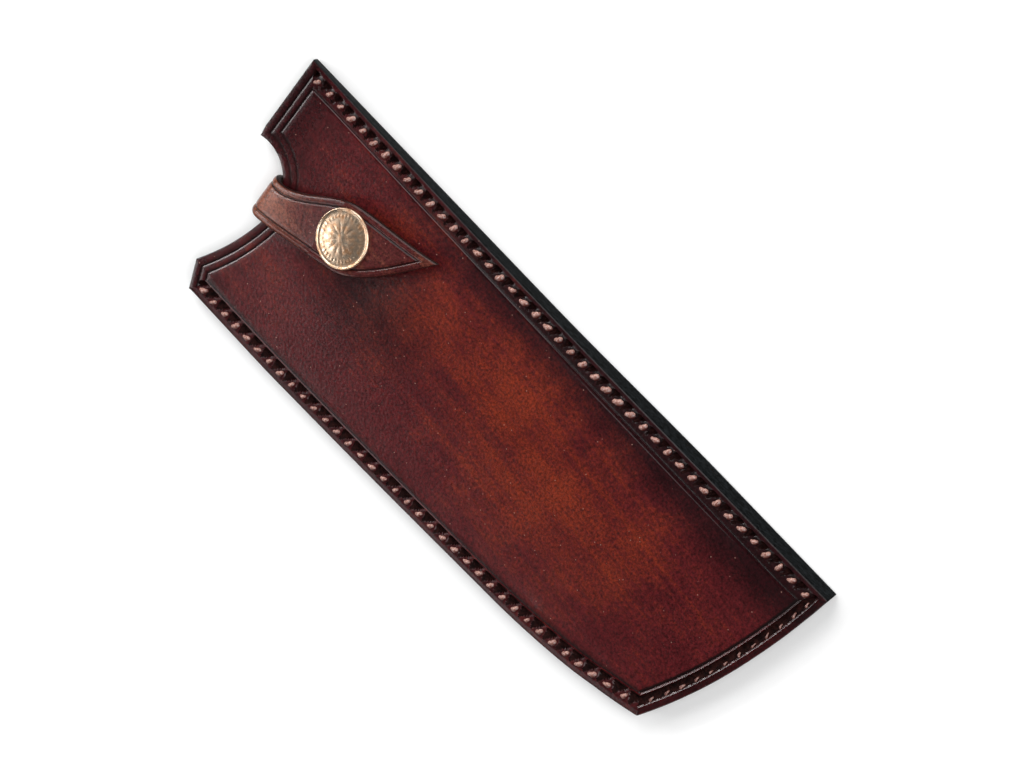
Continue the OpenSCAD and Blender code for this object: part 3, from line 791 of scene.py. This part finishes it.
def stitched_seam(name, seam, node, bright_tone, bulk, wide):
    """A row of stitches on both faces of the sheath, bulky and wide, with at most a share of the thread's
    bright tone, less where they are painted with shade. No two turn, roll and swell alike. Those on the back
    are pressed flat, so that it lies on the table."""
    side, inset, first, last, count = seam[:5]
    pattern = stitch_mesh(bright_tone)
    hand = random.Random(count)
    pitch = (last - first) / count
    bm = bmesh.new()
    for face_z, up, flat in ((TOP_Z, 1, 1.0), (BACK_SUNK, -1, BACK_FLAT)):
        for i in range(count):
            t = first + (i + 0.5) * pitch
            spot = place(trimmed(side(t, inset), face_z), face_z)
            along = (place(side(t + 1, inset), 0) - place(side(t - 1, inset), 0)).normalized()
            outwards = Vector((0, 0, up))
            axes = Matrix((along, outwards.cross(along), outwards)).transposed().to_4x4()
            turn = Matrix.Rotation(math.radians(hand.uniform(-14, 14)), 4, "Z")
            roll = Matrix.Rotation(math.radians(hand.uniform(-20, 20)), 4, "X")
            size = [MM * bulk * hand.uniform(0.72, 1.15) for _ in range(3)]
            size = Matrix.Diagonal((size[0], wide * size[1], flat * size[2], 1))
            known = len(bm.verts)
            bm.from_mesh(pattern)
            bm.verts.ensure_lookup_table()
            bmesh.ops.transform(bm, matrix=Matrix.Translation(spot) @ axes @ (turn @ roll) @ size,
                                verts=bm.verts[known:])
    bpy.data.meshes.remove(pattern)
    shade(bm, 180)
    piece = make_piece(name, bm, (thread,))
    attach(piece, "sheath")
    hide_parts(node)


# The tip's stitches show half the bright tone: painted shade in their channel
stitched_seam("edge_stitching", SEAMS["edge"], "edge_thread", 1.0, 1.25, 1.2)
stitched_seam("tip_stitching", SEAMS["tip"], "tip_thread", 0.5, 0.66, 1.0)
stitched_seam("spine_stitching", SEAMS["spine"], "spine_thread", 1.0, 1.15, 1.05)


# Strap: its side view is a path from the root inside the sheath, round the fold and out to the point
RISE = Vector((SEAT[0] - FOLD_U, SEAT_Z - FOLD_Z))
RISE_A = math.atan2(RISE.y, RISE.x) - math.asin(FOLD_MID_R / RISE.length)
FOLD_L = (math.pi - RISE_A) * FOLD_MID_R
FOLD_OUT = polar(Vector((FOLD_U, FOLD_Z)), FOLD_MID_R, math.pi / 2 + RISE_A)
RISE_L = (Vector((SEAT[0], SEAT_Z)) - FOLD_OUT).length
RISE_BOW = 3.4
SEAT_EASE = 8.0
ROOT_L = 7.0


def strap_side_view(s):
    """Place in the middle of the strap's thickness, and the way out of its grain face, at a length
    from the start of the fold."""
    if s < 0:
        return Vector((FOLD_U - s, 1.0)), Vector((0, -1))
    if s < FOLD_L:
        a = 1.5 * math.pi - s / FOLD_MID_R
        out = polar(Vector((0, 0)), 1, a)
        return Vector((FOLD_U, FOLD_Z)) + FOLD_MID_R * out, out
    s -= FOLD_L
    slope = RISE_A * (1 - smooth_step((s - RISE_L) / SEAT_EASE + 0.5))
    if s < RISE_L:
        part = s / RISE_L
        bow = RISE_BOW * part * (1 - part) ** 2
        slope += RISE_BOW * (1 - part) * (1 - 3 * part) / RISE_L
        spot = FOLD_OUT + s * polar(Vector((0, 0)), 1, RISE_A) + Vector((0, bow))
    else:
        s -= RISE_L
        flat = SEAT[1] - SEAT[0]
        droop = max(0.0, s - flat) / DROOP_R
        spot = Vector((SEAT[0] + min(s, flat) + DROOP_R * math.sin(droop),
                       SEAT_Z - DROOP_R * (1 - math.cos(droop))))
        slope -= droop
    return spot, polar(Vector((0, 0)), 1, math.pi / 2 + slope)


def strap_length(u):
    """Length from the start of the fold to a place on the strap's top, by its distance from the mouth."""
    if u < SEAT[0]:
        return FOLD_L + (u - FOLD_OUT.x) / math.cos(RISE_A)
    past = u - SEAT[1]
    beyond = SEAT[1] - SEAT[0] + DROOP_R * math.asin(past / DROOP_R) if past > 0 else u - SEAT[0]
    return FOLD_L + RISE_L + beyond


def curve_through(a, b, c, d):
    """Places along a curve from a to d, drawn towards b and c."""
    return [(1 - t) ** 3 * a + 3 * (1 - t) ** 2 * t * b + 3 * (1 - t) * t * t * c + t ** 3 * d
            for t in (i / 40 for i in range(41))]


def drawn_side(points):
    """A side of an outline that follows the points, smoothed over a millimetre and a half."""
    lengths = [0.0]
    for a, b in zip(points, points[1:]):
        lengths.append(lengths[-1] + (b - a).length)

    def spot(t):
        k = max(1, next((i for i, reach in enumerate(lengths) if reach >= t), len(lengths) - 1))
        part = (t - lengths[k - 1]) / (lengths[k] - lengths[k - 1])
        return points[k - 1].lerp(points[k], part)

    def at(t, d):
        ahead, behind = spot(t + 0.75), spot(t - 0.75)
        way = (ahead - behind).normalized()
        smooth = (ahead + behind) / 4 + spot(t) / 2
        return smooth + d * Vector((-way.y, way.x))

    return at, 0.0, lengths[-1]


# Rings of the strap from the cut edge inwards: inset, height from the middle, and how dark the dye lies
STRAP_RINGS = ((0.0, -0.55, 0.0), (0.0, 0.38, 0.0), (0.08, 0.62, 0.2), (0.32, 0.79, 0.2),
               (0.78, 0.95, 0.2), (1.10, 1.00, 0.0), (1.50, 1.00, 0.2), (1.80, 0.90, 0.2),
               (2.02, 0.74, 0.2), (2.06, 0.68, 0.9), (2.20, 0.66, 0.9), (2.40, 0.82, 0.9),
               (2.46, 0.86, 0.2), (2.70, 0.95, 0.2), (3.30, 1.01, 0.0))

# Distance between cuts across the strap, in its fold and beyond. Its root is a hair thinner, so that its
# faces don't lie in those of the back panel.
FOLD_STEP = 0.6
STRAP_STEP = 1.5
ROOT_THIN = 0.985


def snap_strap():
    """The strap, cut flat with burnished edges and creased lines, then folded over the mouth."""
    # Its long sides as they lie on the sheath: curves from the fold to the shoulders beside the snap, and
    # on to the point
    lean = polar(Vector((0, 0)), 1, -LEAN)
    pull = 9 * lean
    across = polar(Vector((0, 0)), LEAF_W / 2, math.pi / 2 - LEAN)
    edge_start = Vector((FOLD_OUT.x, STRAP_V[0]))
    spine_start = Vector((FOLD_OUT.x, STRAP_V[1]))
    edge_shoulder, spine_shoulder = SNAP_UV - across, SNAP_UV + across
    edge_line = (curve_through(edge_start, edge_start + 10 * lean, edge_shoulder - pull, edge_shoulder)
                 + curve_through(edge_shoulder, edge_shoulder + pull, POINT - pull, POINT)[1:])
    spine_line = (curve_through(POINT, POINT - polar(Vector((0, 0)), 14, -POINT_CUT),
                                spine_shoulder + pull, spine_shoulder)
                  + curve_through(spine_shoulder, spine_shoulder - 8 * lean,
                                  spine_start.lerp(spine_shoulder, 0.4), spine_start)[1:])
    # The same sides laid flat, with the root
    edge_flat = [Vector((-ROOT_L, STRAP_V[0]))] + [Vector((strap_length(p.x), p.y)) for p in edge_line]
    spine_flat = [Vector((strap_length(p.x), p.y)) for p in spine_line] + [Vector((-ROOT_L, STRAP_V[1]))]
    root_flat = [Vector((-ROOT_L, STRAP_V[1])), Vector((-ROOT_L, STRAP_V[0]))]
    sides = [drawn_side(line) for line in (edge_flat, spine_flat, root_flat)]

    bm = bmesh.new()
    layers = [bm.verts.layers.float.new(mark) for mark in ("inset", "crease", "polish")]

    def ring_places(inset, height):
        insets = [inset, inset, 0.2 * inset]
        return [(*sides[k][0](t, insets[k]), height) for k, t in ring_stations(sides, insets, FOLD_STEP)]

    ring = first_ring(bm, ring_places(0.45, -1.0))
    inner_face = bm.faces.new(ring)
    for inset, height, dark in STRAP_RINGS:
        ring = grow(bm, ring, ring_places(inset, height))
        for vert in ring:
            for layer, value in zip(layers, (inset, dark, float(0 < dark < POLISHED))):
                vert[layer] = value
    bm.faces.new(ring)
    inner_face.material_index = 1
    # Cuts across the flat strap let it follow the fold
    reach = strap_length(POINT.x)
    cuts = [-0.3 + i * FOLD_STEP for i in range(int(FOLD_L / FOLD_STEP) + 3)]
    cuts += [FOLD_L + STRAP_STEP * i for i in range(1, int((reach - FOLD_L) / STRAP_STEP))]
    for s in cuts:
        bmesh.ops.bisect_plane(bm, geom=bm.verts[:] + bm.edges[:] + bm.faces[:], dist=1e-4,
                               plane_co=(s, 0, 0), plane_no=(1, 0, 0))
    for vert in bm.verts:
        s, v, height = vert.co
        spot, out = strap_side_view(s)
        if s < -1.6:
            height *= ROOT_THIN
        vert.co = place((spot.x + out.x * height, v), spot.y + out.y * height)
    shade(bm, 20)
    return make_piece("snap_strap", bm, (strap_leather, flesh))


strap = snap_strap()
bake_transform(strap, "sheath", "strap", start=(-0.0958, 0, 0.0024), end=(-0.0958, 0, 0.0070))
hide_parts("strap_tongue")


# Snap: the number of petals and of beads, where they lie from the middle, and their height
PETALS = 12
PETAL_R = (1.8, 5.4)
PETAL_H = 0.07
BEADS = 36
BEAD_R = (6.2, 6.9)
BEAD_H = 0.04
CAP_PROFILE = ((0.0, 1.32), (0.9, 1.30), (1.4, 1.22), (2.2, 1.26), (3.2, 1.21), (4.2, 1.12), (5.0, 1.02),
               (5.6, 0.94), (6.0, 0.89), (6.35, 0.88), (6.7, 0.84), (7.2, 0.76), (7.8, 0.71),
               (8.1, 0.80), (8.27, 0.95), (8.44, 1.00), (8.60, 0.94), (8.72, 0.78), (8.75, 0.55),
               (8.70, 0.15), (8.55, 0.0), (0.0, 0.0))


def rosette_cap():
    """Pressed cap with a rolled rim, a beaded ring and a plain rosette."""
    bm = bmesh.new()
    line = [bm.verts.new((r, 0, z)) for r, z in CAP_PROFILE]
    for a, b in zip(line, line[1:]):
        bm.edges.new((a, b))
    bmesh.ops.spin(bm, geom=bm.verts[:] + bm.edges[:], cent=(0, 0, 0), axis=(0, 0, 1),
                   angle=2 * math.pi, steps=144, use_merge=True)
    bmesh.ops.remove_doubles(bm, verts=bm.verts, dist=1e-4)
    for vert in bm.verts:
        r, a = vert.co.xy.length, math.atan2(vert.co.y, vert.co.x)
        if vert.co.z < 0.5:
            continue
        if PETAL_R[0] < r < PETAL_R[1]:
            petal = abs(math.cos(PETALS / 2 * a)) - 0.5
            along = (r - PETAL_R[0]) / (PETAL_R[1] - PETAL_R[0])
            vert.co.z += PETAL_H * petal * math.sin(along * math.pi)
        if BEAD_R[0] < r < BEAD_R[1]:
            vert.co.z += BEAD_H * math.cos(BEADS * a)
    bmesh.ops.recalc_face_normals(bm, faces=bm.faces)
    centre = place(SNAP_UV, CAP_Z)
    bmesh.ops.transform(bm, matrix=Matrix.Translation(centre) @ Matrix.Scale(MM, 4), verts=bm.verts)
    shade(bm, 60)
    return make_piece("snap_cap_rosette", bm, (cap_brass,))


cap = rosette_cap()
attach(cap, "strap")
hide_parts("snap_cap")

for node, metal in (("snap_socket", snap_brass), ("snap_spring", spring_steel),
                    ("snap_stud", snap_brass), ("snap_rivet", snap_brass)):
    for slot in nodes[node].material_slots:
        slot.material = metal


# Floor, light and camera
def white_floor():
    """A white card just under the sheath, with a faint tooth 3 mm across."""
    material, tree = new_material("matte_white_card")
    where = add(tree, "TexCoord").outputs["Object"]
    tooth = add(tree, "TexNoise", {"Vector": where, "Scale": per_mm(3), "Detail": 2})
    tone = add(tree, "MapRange", {"Value": tooth.outputs["Fac"], "To Min": 0.865, "To Max": 0.875})
    shader = add(tree, "BsdfDiffuse", {"Color": tone.outputs[0]})
    add(tree, "OutputMaterial", {"Surface": shader.outputs[0]})
    bm = bmesh.new()
    bmesh.ops.create_grid(bm, x_segments=1, y_segments=1, size=3,
                          matrix=Matrix.Translation((0, 0, -0.0002)))
    floor = make_piece("white_table", bm, (material,))


def softbox(name, direction, distance, size, watts):
    """A square area light that looks at the sheath."""
    lamp = bpy.data.lights.new(name, "AREA")
    lamp.energy = watts
    lamp.size = size
    holder = bpy.data.objects.new(name, lamp)
    way = Vector(direction).normalized()
    holder.location = way * distance
    holder.rotation_euler = way.to_track_quat("Z", "Y").to_euler()
    bpy.context.scene.collection.objects.link(holder)


white_floor()
# A key from the mouth and the cutting edge, a fill from the tip, small panes like a window's beyond the
# mouth, which light the walls of the creases and the cap, and two weak bounces from the spine side
softbox("key_softbox", (-0.45, 0.68, 0.65), 0.95, 0.75, 5.8)
softbox("front_fill", (0.62, 0.35, 0.76), 1.3, 1.2, 19.0)
softbox("window_pane_low", (-0.825, -0.342, 0.452), 0.9, 0.08, 0.28)
softbox("window_pane_middle", (-0.82, -0.235, 0.52), 0.9, 0.08, 0.55)
softbox("window_pane_high", (-0.806, -0.121, 0.58), 0.9, 0.08, 0.85)
softbox("left_bounce", (-0.64, -0.56, 0.55), 1.0, 0.3, 1.9)
softbox("window_pane_top", (-0.82, 0.08, 0.55), 0.9, 0.1, 0.8)
softbox("spine_glow", (-0.22, -0.84, 0.50), 1.0, 0.3, 1.0)

world = bpy.data.worlds.new("dim_studio")
world.use_nodes = True
world.node_tree.nodes["Background"].inputs["Color"].default_value = (1, 1, 1, 1)
world.node_tree.nodes["Background"].inputs["Strength"].default_value = 0.04
bpy.context.scene.world = world
bpy.context.scene.view_settings.view_transform = "Standard"

camera_data = bpy.data.cameras.new("camera")
camera_data.sensor_fit = "HORIZONTAL"
camera_data.sensor_width = 36
camera_data.lens = 158.2
camera_data.clip_start = 0.05
camera = bpy.data.objects.new("camera", camera_data)
# Where the camera stands and its three axes, fitted to the outline of the sheath
CAMERA_AT = (0.39942, 0.49796, 1.07110)
CAMERA_RIGHT = (0.65130, 0.56851, -0.50260)
CAMERA_UP = (-0.68634, 0.72384, -0.07064)
CAMERA_BACK = (0.32365, 0.39096, 0.86163)
turned = Matrix((CAMERA_RIGHT, CAMERA_UP, CAMERA_BACK)).transposed().to_4x4()
camera.matrix_world = Matrix.Translation(CAMERA_AT) @ turned
bpy.context.scene.collection.objects.link(camera)
bpy.context.scene.camera = camera
